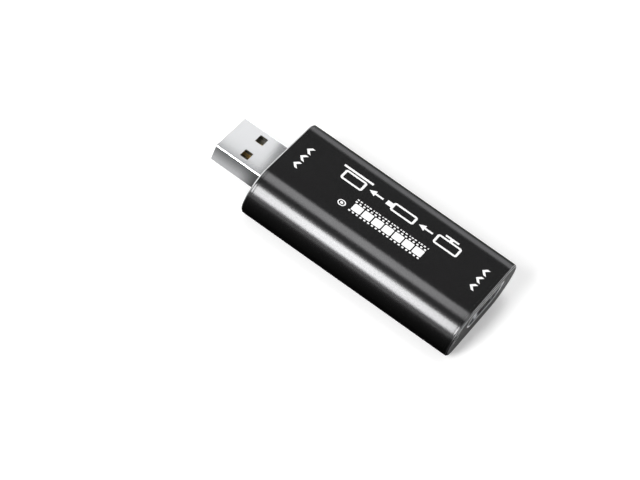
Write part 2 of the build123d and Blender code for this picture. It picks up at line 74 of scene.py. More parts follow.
# Screws
head_radius = 1.55 * mm
head_depth = 0.55 * mm
head_sink = 0.1 * mm
shank_radius = 1.0 * mm
shank_length = 3.85 * mm
point_length = 0.6 * mm
point_share = 0.4
recess_depth = 0.45 * mm
recess_long = 0.85 * mm
recess_short = 0.2 * mm
recess_taper = 0.66

# Video socket. Each slope of its mouth goes through a point, in mm from the middle, and faces a way
socket_z = 7.895 * mm
mouth_half_width = 7 * mm
mouth_half_height = 2.275 * mm
mouth_slopes = (((6.35, -1.195), (0.7557, -0.6549)), ((4.95, -2.275), (0.6108, -0.7917)))
mouth_top_corner = 0.4 * mm
mouth_low_corner = 0.12 * mm
low_corner_reach = 0.3 * mm
lip_width = 0.46 * mm
lip_depth = 0.3 * mm
lip_slip = 0.06 * mm

# Output plug
plug_low = Vector((-6, 13.3, 2.65)) * mm
plug_high = Vector((6, 33.2, 7.15)) * mm
plug_z = (plug_low.z + plug_high.z) / 2
plug_wall = 0.3 * mm
plug_corner = 0.32 * mm
plug_slip = 0.08 * mm
plug_roll = 0.14 * mm
plug_seam = 0.12 * mm
plug_tab_low = 5.27 * mm
plug_tab_rows = (14.9 * mm, 18.1 * mm)
plug_tab_width = 1.6 * mm
plug_tab_tip = 7.5 * mm
plug_leg_low = 3.65 * mm
window_x = 3.05 * mm
window_y = 27.0 * mm
window_size = Vector((2.5, 2.0, 2.0)) * mm
window_corner = 0.16 * mm

# Shader language


class Value:
    """One number that changes over a surface. Sums and products of it add Math nodes."""

    def __init__(self, graph, socket):
        self.graph = graph
        self.socket = socket

    def math(self, operation, *terms):
        return self.graph.node("ShaderNodeMath", {"operation": operation}, dict(enumerate(terms)))

    def __add__(self, other):
        return self.math("ADD", self, other)

    def __sub__(self, other):
        return self.math("SUBTRACT", self, other)

    def __rsub__(self, other):
        return self.math("SUBTRACT", other, self)

    def __mul__(self, other):
        return self.math("MULTIPLY", self, other)

    def __pow__(self, other):
        return self.math("POWER", self, other)

    def __abs__(self):
        return self.math("ABSOLUTE", self)

    __radd__ = __add__
    __rmul__ = __mul__

    def at_least(self, other):
        return self.math("MAXIMUM", self, other)

    def wave(self, period):
        """Rises and falls between 0 and 1, once in each period."""
        return 0.5 + 0.5 * self.math("SINE", self * (2 * pi / period))

    def above(self, edge, blur):
        """0 below the edge and 1 above it, with a soft step."""
        ends = {0: self, 1: edge - blur, 2: edge + blur, 3: 0, 4: 1}
        return self.graph.node("ShaderNodeMapRange", {"interpolation_type": "SMOOTHSTEP"}, ends)

    def below(self, edge, blur):
        return 1 - self.above(edge, blur)


class Graph:
    """A node tree in which every node comes from one method."""

    def __init__(self, tree):
        self.tree = tree

    def node(self, kind, settings=None, sockets=None, output=0):
        made = self.tree.nodes.new(kind)
        for setting, value in (settings or {}).items():
            if setting == "stops":
                self.set_stops(made.color_ramp, value)
            else:
                setattr(made, setting, value)
        for key, value in (sockets or {}).items():
            self.join(value, made.inputs[key])
        return Value(self, made.outputs[output])

    def set_stops(self, ramp, stops):
        while len(ramp.elements) < len(stops):
            ramp.elements.new(1)
        for element, (position, grey) in zip(ramp.elements, stops):
            element.position = position
            element.color = (grey, grey, grey, 1)

    def join(self, value, socket):
        if isinstance(value, Value):
            self.tree.links.new(value.socket, socket)
        elif isinstance(value, tuple) and socket.type == "RGBA":
            socket.default_value = (*value, 1)
        else:
            socket.default_value = value

    def axis(self, vector, letter):
        return self.node("ShaderNodeSeparateXYZ", None, {0: vector}, output=letter)


class Finish(Graph):
    """A material, with a Principled shader, that is written as sums of patterns."""

    def __init__(self, name, **constants):
        self.material = bpy.data.materials.new(name)
        self.material.use_nodes = True
        super().__init__(self.material.node_tree)
        self.shader = self.tree.nodes["Principled BSDF"]
        self.sets(**constants)
        self.place = self.node("ShaderNodeTexCoord", output="Object")
        self.x, self.y, self.z = (self.axis(self.place, letter) for letter in "XYZ")

    def sets(self, **sockets):
        for name, value in sockets.items():
            self.join(value, self.shader.inputs[name.replace("_", " ")])

    def normal(self, letter):
        return self.axis(self.node("ShaderNodeTexCoord", output="Normal"), letter)

    def stretched(self, x=1, y=1, z=1):
        """The place, drawn out along an axis where its share is below 1."""
        return self.node("ShaderNodeMapping", None, {"Vector": self.place, "Scale": Vector((x, y, z))})

    def noise(self, grain, detail=2, place=None):
        """Cloudy noise from 0 to 1 with spots of about the grain's size."""
        sockets = {"Vector": place or self.place, "Scale": 1 / grain, "Detail": detail}
        return self.node("ShaderNodeTexNoise", None, sockets)

    def speckle(self, grain, place=None):
        """The distance to the nearest of points that lie about a grain apart."""
        sockets = {"Vector": place or self.place, "Scale": 1 / grain}
        return self.node("ShaderNodeTexVoronoi", {"feature": "F1"}, sockets)

    def blend(self, share, low, high):
        """A colour from low to high as the share goes from 0 to 1."""
        return self.node("ShaderNodeMix", {"data_type": "RGBA"}, {0: share, 6: low, 7: high}, output=2)

    def bumps(self, height, strength, distance):
        sockets = {"Height": height, "Strength": strength, "Distance": distance}
        self.sets(Normal=self.node("ShaderNodeBump", None, sockets))


def dress(material, name):
    nodes[name].data.materials.clear()
    nodes[name].data.materials.append(material)


# Shaping


def begin(name):
    """Names the new primitive, fixes its place in its mesh and opens it with nothing selected."""
    piece = bpy.context.active_object
    piece.name = name
    piece.data.name = name
    bpy.ops.object.transform_apply(location=True, rotation=True, scale=True)
    bpy.ops.object.mode_set(mode="EDIT")
    bpy.ops.mesh.select_all(action="DESELECT")
    return piece


def clear_bench():
    close_edit()
    bpy.ops.object.select_all(action="DESELECT")


def start_block(name, low, high):
    clear_bench()
    low, high = Vector(low), Vector(high)
    bpy.ops.mesh.primitive_cube_add(size=1, location=(low + high) / 2, scale=high - low)
    return begin(name)


def start_side_block(name, side, inner_x, outer_x, ys, zs):
    """A block to one side of the stick's middle."""
    low_x, high_x = sorted((side * inner_x, side * outer_x))
    return start_block(name, (low_x, ys[0], zs[0]), (high_x, ys[1], zs[1]))


def start_rod(name, centre, radius, length, sides=40, top_radius=None):
    """A rod along Y, or a cone that ends in its top radius at its far end."""
    clear_bench()
    top_radius = radius if top_radius is None else top_radius
    bpy.ops.mesh.primitive_cone_add(
        vertices=sides, radius1=radius, radius2=top_radius, depth=length,
        location=centre, rotation=(-pi / 2, 0, 0),
    )
    return begin(name)


def pick(kind, test):
    """Selects the faces whose middle and normal pass the test, or the edges by middle and direction."""
    bpy.ops.mesh.select_mode(type=kind)
    bpy.ops.mesh.select_all(action="DESELECT")
    mesh = bpy.context.edit_object.data
    shape = bmesh.from_edit_mesh(mesh)
    shape.normal_update()
    if kind == "FACE":
        for face in shape.faces:
            if test(face.calc_center_median(), face.normal):
                face.select_set(True)
    else:
        for edge in shape.edges:
            near, far = (corner.co for corner in edge.verts)
            if test((near + far) / 2, (far - near).normalized()):
                edge.select_set(True)
    bmesh.update_edit_mesh(mesh)


def pick_all():
    bpy.ops.mesh.select_all(action="SELECT")


def close_edit():
    if bpy.context.object and bpy.context.object.mode == "EDIT":
        bpy.ops.object.mode_set(mode="OBJECT")


def activate(piece):
    clear_bench()
    bpy.context.view_layer.objects.active = piece
    piece.select_set(True)


def apply_modifier(piece, kind, **settings):
    activate(piece)
    modifier = piece.modifiers.new(kind.lower(), kind)
    for setting, value in settings.items():
        setattr(modifier, setting, value)
    bpy.ops.object.modifier_apply(modifier=modifier.name)


def combine(piece, tool, operation="DIFFERENCE"):
    close_edit()
    apply_modifier(piece, "BOOLEAN", operation=operation, solver="EXACT", object=tool)
    bpy.data.objects.remove(tool)


def round_edges(piece, width, angle=35):
    apply_modifier(
        piece, "BEVEL", width=width, segments=2, limit_method="ANGLE",
        angle_limit=radians(angle), harden_normals=False, miter_outer="MITER_ARC",
    )


def hand_over(piece, material, body, *stands_for):
    """Smooths and dresses a finished piece, and lets it ride on its body in its nodes' place."""
    activate(piece)
    bpy.ops.object.mode_set(mode="EDIT")
    pick_all()
    bpy.ops.mesh.normals_make_consistent(inside=False)
    bpy.ops.object.mode_set(mode="OBJECT")
    bpy.ops.object.shade_smooth_by_angle(angle=radians(32))
    apply_modifier(piece, "WEIGHTED_NORMAL", keep_sharp=True, weight=50)
    piece.data.materials.clear()
    piece.data.materials.append(material)
    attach(piece, body)
    if stands_for:
        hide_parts(*stands_for)
    return piece


def bevel(offset, segments=1):
    bpy.ops.mesh.bevel(offset=offset, segments=segments, affect="EDGES", clamp_overlap=False)


def rounded_bar(name, low, high):
    """A bar along Y with flat top and bottom and full round sides."""
    piece = start_block(name, low, high)
    pick("EDGE", lambda middle, way: abs(way.y) > aligned)
    bevel((high.z - low.z) / 2, 40)
    pick_all()
    bpy.ops.mesh.remove_doubles(threshold=0.001 * mm)
    return piece


def depth_inside(place, low, high):
    """How far a place is inside the outline of a bar with full round sides."""
    half = (high.z - low.z) / 2
    middle = (low + high) / 2
    across = max(abs(place.x - middle.x) - (high.x - low.x) / 2 + half, 0)
    return half - hypot(across, place.z - middle.z)


def on_outline(place, low, high):
    return depth_inside(place, low, high) < near_nothing


def take_copy(node):
    """A copy of the node with its triangles merged into faces."""
    close_edit()
    piece = bpy.data.objects.new(node + "_eased", nodes[node].data.copy())
    bpy.context.scene.collection.objects.link(piece)
    activate(piece)
    bpy.ops.mesh.customdata_custom_splitnormals_clear()
    bpy.ops.object.mode_set(mode="EDIT")
    pick_all()
    bpy.ops.mesh.remove_doubles(threshold=0.0005 * mm)
    bpy.ops.mesh.dissolve_limited(angle_limit=radians(0.5))
    bpy.ops.object.mode_set(mode="OBJECT")
    return piece


def copy_node(node, body, width, material):
    """The node with the small edge radii of the real piece."""
    piece = take_copy(node)
    round_edges(piece, width, 30)
    return hand_over(piece, material, body, node)


# Finishes


def blasted_black_anodising():
    """Bead-blasted, black dyed aluminium. A low tint at glancing angles stands for the dye in its pores."""
    finish = Finish("blasted_black_anodising", Metallic=1.0, Specular_Tint=(0.45, 0.45, 0.45))
    grain = finish.noise(0.28 * mm, detail=3)
    drawn = finish.noise(0.5 * mm, place=finish.stretched(y=0.02))
    cloud = finish.noise(9 * mm)
    finish.sets(
        Base_Color=finish.blend(grain, (0.03, 0.03, 0.0305), (0.06, 0.06, 0.061)),
        Roughness=0.18 + 0.06 * grain + 0.04 * drawn + 0.03 * cloud,
    )
    finish.bumps(grain, 0.3, 0.006 * mm)
    return finish.material


def satin_black_plate():
    """Black dyed sheet with a paler face.

    Its rim is painted pale as bare metal, which also paints the rim's highlight line: on both of its ridges
    round the socket and all over beside the plug.
    """
    finish = Finish("satin_black_plate", Metallic=1.0, Specular_Tint=(0.45, 0.45, 0.45))
    grain = finish.noise(0.2 * mm, detail=4)
    rubbed = finish.noise(1.4 * mm, place=finish.stretched(x=0.25))
    half = tube_high.z - middle_z
    across = (abs(finish.x) - (tube_high.x - half)).at_least(0)
    from_middle = (across ** 2 + (finish.z - middle_z) ** 2) ** 0.5
    tilt = abs(finish.normal("Y"))
    face = tilt.above(0.92, 0.04)
    slope = from_middle.above(half - plate_rim - 0.05 * mm, 0.01 * mm) * tilt.above(0.35, 0.1)
    slope = slope * tilt.below(0.92, 0.04)
    # Painted highlight: the rim chamfer is painted pale as bare metal, in bands at its two ridges round the
    # socket and all over beside the plug
    from_ridges = abs(from_middle - (half - plate_inset - plate_rim / 2))
    beside_plug = finish.y.above(0, mm)
    painted_highlight_and_wear = from_ridges.above(plate_rim / 2 - ridge_highlight_width, 0.01 * mm).at_least(beside_plug)
    rim = slope * painted_highlight_and_wear * finish.noise(0.7 * mm, detail=3).above(0.22, 0.08)
    rub = rubbed * face
    edge_black = finish.blend(grain, (0.037, 0.037, 0.0375), (0.052, 0.052, 0.053))
    face_black = finish.blend(rubbed, (0.04, 0.04, 0.041), (0.062, 0.062, 0.063))
    black = finish.blend(face, edge_black, face_black)
    finish.sets(
        Base_Color=finish.blend(rim, black, (0.8, 0.8, 0.81)),
        Roughness=0.21 + 0.06 * grain + 0.04 * rub + 0.13 * face,
    )
    finish.bumps(grain, 0.3, 0.006 * mm)
    return finish.material


def black_oxide_steel():
    """Blackened screws with fine turning rings, a paler ring at the rim of the head that is a painted
    highlight, and paler wear round the recess.
    """
    finish = Finish("black_oxide_steel", Metallic=0.7)
    across = abs(finish.x) - port_x
    from_axis = (across ** 2 + (finish.z - middle_z) ** 2) ** 0.5
    rings = from_axis.wave(0.09 * mm)
    mottle = finish.noise(0.12 * mm, detail=3)
    # The paler ring at the head's rim is a painted highlight; the paler patch round the recess is wear
    painted_rim_highlight = from_axis.above(head_radius - 0.16 * mm, 0.08 * mm)
    painted_highlight_and_wear = painted_rim_highlight + 0.5 * from_axis.below(0.95 * mm, 0.15 * mm)
    finish.sets(
        Base_Color=finish.blend(painted_highlight_and_wear * mottle, (0.03, 0.03, 0.031), (0.19, 0.188, 0.184)),
        Roughness=0.3 + 0.08 * mottle + 0.05 * rings,
    )
    finish.bumps(rings + 0.6 * mottle, 0.2, 0.005 * mm)
    return finish.material


def drawn_tin_plate(name, tone):
    """Tinned sheet with fine lines along the way it was drawn, a few longer scratches and a faint smear."""
    finish = Finish(name, Metallic=1.0)
    lines = finish.noise(0.11 * mm, detail=3, place=finish.stretched(y=0.02))
    scratches = finish.noise(0.5 * mm, place=finish.stretched(x=1.6, y=0.08)).above(0.68, 0.02)
    smear = finish.noise(5 * mm, detail=2)
    dull = (tone * 0.855, tone * 0.865, tone * 0.88)
    bright = (tone * 0.975, tone * 0.985, tone)
    finish.sets(
        Base_Color=finish.blend(0.6 * lines + 0.4 * smear, dull, bright),
        Roughness=0.14 + 0.06 * lines + 0.03 * smear + 0.05 * scratches,
    )
    finish.bumps(lines - 0.5 * scratches, 0.2, 0.004 * mm)
    return finish.material


def gold_flash():
    finish = Finish("gold_flash", Metallic=1.0)
    mottle = finish.noise(0.35 * mm, detail=3)
    rub = finish.noise(0.12 * mm, place=finish.stretched(y=0.08))
    finish.sets(
        Base_Color=finish.blend(mottle, (0.72, 0.47, 0.16), (0.88, 0.64, 0.28)),
        Roughness=0.2 + 0.14 * rub + 0.06 * mottle,
    )
    finish.bumps(rub, 0.2, 0.006 * mm)
    return finish.material


def glass_filled_moulding(name, dark, pale):
    finish = Finish(name, IOR=1.53)
    flecks = finish.noise(0.18 * mm, detail=4)
    flow = finish.noise(2.2 * mm, place=finish.stretched(y=0.4))
    finish.sets(
        Base_Color=finish.blend(flow, dark, pale),
        Roughness=0.42 + 0.16 * flecks,
    )
    finish.bumps(flecks, 0.3, 0.012 * mm)
    return finish.material


def solder_mask_laminate():
    """Green lacquer over woven glass, with the copper's tracks showing through as paler runs."""
    finish = Finish("solder_mask_laminate", IOR=1.55)
    cloth = 0.5 * finish.x.wave(0.45 * mm) + 0.5 * finish.y.wave(0.45 * mm)
    runs = finish.speckle(2.6 * mm, place=finish.stretched(y=0.35)).above(0.52, 0.03)
    cloud = finish.noise(5 * mm)
    green = finish.blend(0.6 * cloth + 0.4 * cloud, (0.008, 0.062, 0.024), (0.014, 0.1, 0.04))
    finish.sets(
        Base_Color=finish.blend(runs * 0.8, green, (0.02, 0.16, 0.06)),
        Roughness=0.24 + 0.1 * cloth,
    )
    finish.bumps(runs + 0.15 * cloth, 0.4, 0.02 * mm)
    return finish.material


def matt_moulding(name, dark, pale, rough, grain):
    """Pressed or moulded stock with a fine pitted skin."""
    finish = Finish(name)
    skin = finish.noise(grain, detail=4)
    cloud = finish.noise(grain * 9)
    finish.sets(
        Base_Color=finish.blend(0.6 * cloud + 0.4 * skin, dark, pale),
        Roughness=rough + 0.14 * skin,
    )
    finish.bumps(skin, 0.3, grain * 0.1)
    return finish.material


def tinned_copper():
    finish = Finish("tinned_copper", Metallic=1.0)
    frost = finish.noise(0.09 * mm, detail=4)
    finish.sets(
        Base_Color=finish.blend(frost, (0.55, 0.55, 0.54), (0.74, 0.74, 0.72)),
        Roughness=0.36 + 0.2 * frost,
    )
    finish.bumps(frost, 0.3, 0.006 * mm)
    return finish.material


def screen_ink():
    finish = Finish("screen_ink")
    grain = finish.noise(0.12 * mm, detail=3)
    thin = finish.noise(1.3 * mm, detail=2)
    finish.sets(
        Base_Color=finish.blend(thin, (0.8, 0.8, 0.8), (0.9, 0.9, 0.9)),
        Roughness=0.5 + 0.15 * grain,
    )
    finish.bumps(grain, 0.2, 0.006 * mm)
    return finish.material


anodising = blasted_black_anodising()
plate_black = satin_black_plate()
oxide = black_oxide_steel()
tin = drawn_tin_plate("drawn_tin_plate", 0.7)
# The socket shell's copy of the tin plate is painted lighter than the plug's, as painted light for the shade
# it sits in
socket_tin_painted_lighter = drawn_tin_plate("socket_plate_painted_lighter", 0.82)
spring_tin = drawn_tin_plate("bright_spring_strip", 0.82)
gold = gold_flash()
moulding = glass_filled_moulding("black_moulding", (0.012, 0.012, 0.013), (0.026, 0.026, 0.027))
olive_moulding = glass_filled_moulding("olive_moulding", (0.075, 0.066, 0.04), (0.11, 0.098, 0.062))
laminate = solder_mask_laminate()
solder = tinned_copper()
ink = screen_ink()
epoxy = matt_moulding("moulded_epoxy", (0.016, 0.016, 0.018), (0.034, 0.034, 0.036), 0.5, 0.08 * mm)
ceramic = matt_moulding("fired_ceramic", (0.36, 0.25, 0.16), (0.5, 0.37, 0.25), 0.4, 0.06 * mm)
glaze = matt_moulding("black_glaze", (0.014, 0.014, 0.018), (0.03, 0.03, 0.036), 0.2, 0.07 * mm)
lid = drawn_tin_plate("plated_lid", 0.7)
ferrite = matt_moulding("pressed_ferrite", (0.05, 0.05, 0.052), (0.11, 0.11, 0.112), 0.6, 0.1 * mm)
polymer = matt_moulding("green_polymer", (0.01, 0.07, 0.04), (0.02, 0.12, 0.07), 0.35, 0.1 * mm)

# The nodes that keep their own shape
dress(laminate, "circuit_board")
dress(epoxy, "protection_arrays")
dress(ceramic, "crystal_base")
dress(glaze, "resistor_bodies")

# Housing, plates and screws


def at_saw_end(place):
    return min(abs(place.y - tube_low.y), abs(place.y - tube_high.y)) < near_nothing


def extrude_housing():
    """A length of tube, sawn and broken at its ends, with a screw port and a board rail down each side."""
    piece = rounded_bar("housing_body", tube_low, tube_high)
    pick("FACE", lambda middle, normal: abs(normal.y) > aligned)
    bpy.ops.mesh.inset(thickness=housing_wall, use_individual=True)
    bpy.ops.mesh.delete(type="FACE")
    bpy.ops.mesh.select_mode(type="EDGE")
    bpy.ops.mesh.select_non_manifold()
    bpy.ops.mesh.bridge_edge_loops()
    pick("EDGE", lambda middle, way: at_saw_end(middle) and on_outline(middle, tube_low, tube_high))
    bevel(saw_break, 2)
    short = 0.05 * mm
    inside = (tube_low.y + short, tube_high.y - short)
    beyond = (-40 * mm, 40 * mm)
    bore_length = 60 * mm
    wall_x = tube_high.x - housing_wall / 2
    for side in (-1, 1):
        heights = (middle_z - port_web / 2, middle_z + port_web / 2)
        combine(piece, start_side_block("web", side, port_x, wall_x, inside, heights), "UNION")
        port = start_rod("port", (side * port_x, middle_y, middle_z), port_radius, inside[1] - inside[0])
        combine(piece, port, "UNION")
        heights = (rail_top - rail_thickness, rail_top)
        rail = start_side_block("rail", side, rail_inner_x, wall_x - rail_short, inside, heights)
        combine(piece, rail, "UNION")
        combine(piece, start_rod("bore", (side * port_x, middle_y, middle_z), port_bore, bore_length))
        heights = (middle_z - port_slot / 2, middle_z + port_slot / 2)
        combine(piece, start_side_block("slit", side, port_x - 2 * port_radius, port_x, beyond, heights))
    return hand_over(piece, anodising, "stick", "housing_tube")


def mouth_block(name, grow, low_y, high_y):
    """A solid that fills the video socket's mouth, wide at the top and drawn in below."""
    half, top = mouth_half_width + grow, mouth_half_height + grow
    piece = start_block(name, (-half, low_y, socket_z - top), (half, high_y, socket_z + top))
    for (x, z), (way_x, way_z) in mouth_slopes:
        for side in (-1, 1):
            pick_all()
            place = Vector((side * (x * mm + grow * way_x), 0, socket_z + z * mm + grow * way_z))
            bpy.ops.mesh.bisect(
                plane_co=place, plane_no=(side * way_x, 0, way_z), use_fill=True, clear_outer=True
            )
    pick("EDGE", lambda middle, way: abs(way.y) > aligned and middle.z > socket_z + top - near_nothing)
    bevel(mouth_top_corner + grow, 5)
    pick("EDGE", lambda middle, way: abs(way.y) > aligned and middle.z < socket_z + low_corner_reach)
    bevel(mouth_low_corner + grow * 0.3, 3)
    return piece


def stamp_plate(name, node, outer_y, out, opening):
    """An end plate, die cut, with a broken outer edge and two countersunk holes."""
    low = Vector((tube_low.x + plate_inset, min(outer_y, outer_y - out * plate_thickness), plate_inset))
    high = Vector((-low.x, low.y + plate_thickness, tube_high.z - plate_inset))
    piece = rounded_bar(name, low, high)
    pick("EDGE", lambda middle, way: (
        abs(middle.y - outer_y) < near_nothing and on_outline(middle, low, high)
    ))
    bevel(plate_rim)
    combine(piece, opening)
    sink_length = sink_wide - sink_narrow
    sink_y = outer_y - out * (sink_length / 2 - sink_proud)
    first, last = (sink_narrow, sink_wide) if out > 0 else (sink_wide, sink_narrow)
    for side in (-1, 1):
        hole = start_rod("hole", (side * port_x, outer_y, middle_z), hole_radius, 4 * plate_thickness)
        combine(piece, hole)
        sink = start_rod("sink", (side * port_x, sink_y, middle_z), first, sink_length, 48, last)
        combine(piece, sink)
    round_edges(piece, 0.02 * mm)
    return hand_over(piece, plate_black, "stick", node)


def flare_socket_shell():
    """The video socket's shell, with its mouth rolled out to a lip that fills the plate's opening."""
    piece = take_copy("video_socket_shell")
    lip = mouth_block("lip", lip_width, input_face, input_face + lip_depth)
    combine(lip, mouth_block("hollow", 0.04 * mm, input_face - mm, input_face + mm))
    combine(piece, lip, "UNION")
    round_edges(piece, 0.06 * mm, 30)
    # Tin painted lighter than the plug's, for the shade the socket sits in
    return hand_over(piece, socket_tin_painted_lighter, "stick", "video_socket_shell")


def turn_screw(name, places, node):
    """A countersunk screw with a cross recess, turned once and copied to its places."""
    piece = start_rod(name, (0, head_depth / 2, 0), head_radius, head_depth, 48, shank_radius)
    pick("FACE", lambda middle, normal: normal.y > aligned)
    for length in (shank_length, point_length):
        bpy.ops.mesh.extrude_region_move(TRANSFORM_OT_translate={"value": (0, length, 0)})
    bpy.ops.transform.resize(value=(point_share, 1, point_share))
    pick("EDGE", lambda middle, way: middle.y < near_nothing)
    bevel(0.07 * mm, 3)
    for half_x, half_z in ((recess_long, recess_short), (recess_short, recess_long)):
        arm = start_block("arm", (-half_x, -0.3 * mm, -half_z), (half_x, recess_depth, half_z))
        pick("FACE", lambda middle, normal: normal.y > aligned)
        bpy.ops.transform.resize(value=(recess_taper, 1, recess_taper))
        combine(piece, arm)
    combine(piece, start_rod("dimple", (0, 0.4 * mm, 0), 0.3 * mm, 0.5 * mm, 16, 0.02 * mm))
    round_edges(piece, 0.03 * mm, 40)
    placed = []
    for place, turn in places:
        twin = bpy.data.objects.new(f"{name}_{len(placed)}", piece.data.copy())
        bpy.context.scene.collection.objects.link(twin)
        twin.location = place
        twin.rotation_euler = turn
        activate(twin)
        bpy.ops.object.transform_apply(location=True, rotation=True, scale=True)
        placed.append(twin)
    bpy.data.objects.remove(piece)
    activate(placed[0])
    for twin in placed:
        twin.select_set(True)
    bpy.ops.object.join()
    joined = bpy.context.active_object
    joined.name = name
    return hand_over(joined, oxide, "stick", node)


# Output plug


def rounded_block(name, low, high, corner, axis, segments=5):
    """A block with rounded edges along one axis."""
    piece = start_block(name, low, high)
    pick("EDGE", lambda middle, way: abs(way[axis]) > aligned)
    bevel(corner, segments)
    return piece


def outside_plug(place):
    """Whether a place is on the outer skin of the plug's shell."""
    across = max(abs(place.x) - plug_high.x + plug_corner, 0)
    up = max(abs(place.z - plug_z) - (plug_high.z - plug_low.z) / 2 + plug_corner, 0)
    return hypot(across, up) > plug_corner - 0.02 * mm


def fold_plug_shell():
    """Thin plate folded round to a seam underneath, with latch windows, solder tabs and a rolled tip."""
    piece = rounded_block("plug_shell", plug_low, plug_high, plug_corner, 1, 8)
    pick("FACE", lambda middle, normal: abs(normal.y) > aligned)
    bpy.ops.mesh.delete(type="FACE")
    apply_modifier(piece, "SOLIDIFY", thickness=plug_wall, offset=-1, use_even_offset=True)
    bpy.ops.object.mode_set(mode="EDIT")
    pick("EDGE", lambda middle, way: middle.y > plug_high.y - near_nothing and outside_plug(middle))
    bevel(plug_roll, 4)
    for side in (-1, 1):
        for level in (plug_low.z, plug_high.z):
            low = Vector((side * window_x, window_y, level)) - window_size / 2
            combine(piece, rounded_block("window", low, low + window_size, window_corner, 2, 4))
    seam_low = (-plug_seam / 2, 10 * mm, plug_low.z - mm)
    combine(piece, start_block("seam", seam_low, (plug_seam / 2, 40 * mm, plug_low.z + mm)))
    for side in (-1, 1):
        for row in plug_tab_rows:
            ys = (row - plug_tab_width / 2, row + plug_tab_width / 2)
            zs = (plug_tab_low, plug_tab_low + plug_wall)
            tab = start_side_block("tab", side, plug_high.x - plug_wall / 2, plug_tab_tip, ys, zs)
            combine(piece, tab, "UNION")
            zs = (plug_leg_low, plug_tab_low + plug_wall / 2)
            leg = start_side_block("leg", side, plug_tab_tip - plug_wall, plug_tab_tip, ys, zs)
            combine(piece, leg, "UNION")
    round_edges(piece, 0.035 * mm, 40)
    return hand_over(piece, tin, "stick", "output_plug_shell")


extrude_housing()
stamp_plate(
    "socket_plate", "input_end_plate", input_face, -1,
    mouth_block("socket_opening", lip_width + lip_slip, -36 * mm, -30 * mm),
)
opening_low = (plug_low.x - plug_slip, 18 * mm, plug_low.z - plug_slip)
opening_high = (plug_high.x + plug_slip, 22 * mm, plug_high.z + plug_slip)
stamp_plate(
    "plug_plate", "output_end_plate", output_face, 1,
    rounded_block("plug_opening", opening_low, opening_high, plug_corner + plug_slip, 1),
)
fold_plug_shell()
flare_socket_shell()
turn_screw("socket_screws", [
    (Vector((side * port_x, input_face + head_sink, middle_z)), (0, turn, 0))
    for side, turn in ((-1, 0.5), (1, 1.1))
], "input_plate_screws")
turn_screw("plug_screws", [
    (Vector((side * port_x, output_face - head_sink, middle_z)), (0, turn, pi))
    for side, turn in ((-1, 0.2), (1, 0.9))
], "output_plate_screws")

# Nodes that are copied with small edge radii, given here in mm
for node, body, edge_radius, material in (
    ("output_plug_insulator", "stick", 0.06, olive_moulding),
    ("output_plug_contacts", "stick", 0.03, gold),
    ("video_socket_insulator", "stick", 0.04, moulding),
    ("video_socket_upper_contacts", "stick", 0.02, gold),
    ("video_socket_lower_contacts", "stick", 0.02, gold),
    ("left_socket_spring", "left_finger", 0.04, spring_tin),
    ("right_socket_spring", "right_finger", 0.04, spring_tin),
    ("capture_chip", "stick", 0.04, epoxy),
    ("capture_chip_leads", "stick", 0.02, solder),
    ("memory_chip", "stick", 0.04, epoxy),
    ("memory_chip_leads", "stick", 0.02, solder),
    ("voltage_regulators", "stick", 0.04, epoxy),
    ("voltage_regulator_leads", "stick", 0.02, solder),
    ("crystal_lid", "stick", 0.05, lid),
    ("power_coil", "stick", 0.05, ferrite),
    ("supply_fuse", "stick", 0.05, polymer),
    ("capacitor_bodies", "stick", 0.05, ceramic),
    ("capacitor_terminals", "stick", 0.05, solder),
    ("resistor_terminals", "stick", 0.03, solder),
):
    copy_node(node, body, edge_radius * mm, material)

# Print on the flat top

ink_low = tube_high.z
ink_thickness = 0.012 * mm


def ink_bar(low_x, low_y, high_x, high_y):
    clear_bench()
    middle = ((low_x + high_x) / 2 * mm, (low_y + high_y) / 2 * mm, ink_low)
    bpy.ops.mesh.primitive_plane_add(size=1, location=middle)
    piece = bpy.context.active_object
    piece.scale = ((high_x - low_x) * mm, (high_y - low_y) * mm, 1)
    begin("ink")
    return piece


def ink_pad(low_x, low_y, high_x, high_y, corner):
    """A filled rectangle with rounded corners."""
    piece = ink_bar(low_x, low_y, high_x, high_y)
    bpy.ops.mesh.select_mode(type="VERT")
    pick_all()
    bpy.ops.mesh.bevel(offset=corner * mm, segments=5, affect="VERTICES")
    return piece


def hollow(line):
    bpy.ops.mesh.select_mode(type="FACE")
    pick_all()
    bpy.ops.mesh.inset(thickness=line * mm, use_boundary=True)
    bpy.ops.mesh.delete(type="FACE")


def ink_frame(low_x, low_y, high_x, high_y, line):
    piece = ink_pad(low_x, low_y, high_x, high_y, line * 1.2)
    hollow(line)
    return piece


def ink_disc(x, y, radius, sides=32, line=0.0):
    """A disc, a ring where it has a line's width, or a head that points along Y where it has three sides."""
    clear_bench()
    bpy.ops.mesh.primitive_circle_add(
        vertices=sides, radius=radius * mm, fill_type="NGON", location=(x * mm, y * mm, ink_low)
    )
    piece = begin("ink")
    if line:
        hollow(line)
    return piece


def ink_chevron(x, y, width, line, rise):
    """A bar with its middle pushed out along Y."""
    piece = ink_bar(x - width / 2, y, x + width / 2, y + line)
    pick("EDGE", lambda middle, way: abs(way.x) > aligned)
    bpy.ops.mesh.subdivide(number_cuts=1)
    pick("EDGE", lambda middle, way: abs(way.y) > aligned and abs(middle.x - x * mm) < near_nothing)
    bpy.ops.transform.translate(value=(0, rise * mm, 0))
    return piece


def ink_arrow(x, y, reach, line, head):
    """The shaft and the head of an arrow that points along Y."""
    shaft = ink_bar(x - line / 2, y, x + line / 2, y + reach - 1.5 * head)
    return [shaft, ink_disc(x, y + reach - head, head, 3)]


def flow_marks():
    """Three chevrons at each end, which point the way that the signal goes."""
    pitch, width, line, rise = 2.8, 2.1, 0.72, 0.85
    made = []
    for x, y in ((0.7, -30.1), (0.4, 15.5)):
        for step in (-1, 0, 1):
            made.append(ink_chevron(x + step * pitch, y, width, line, rise))
    return made


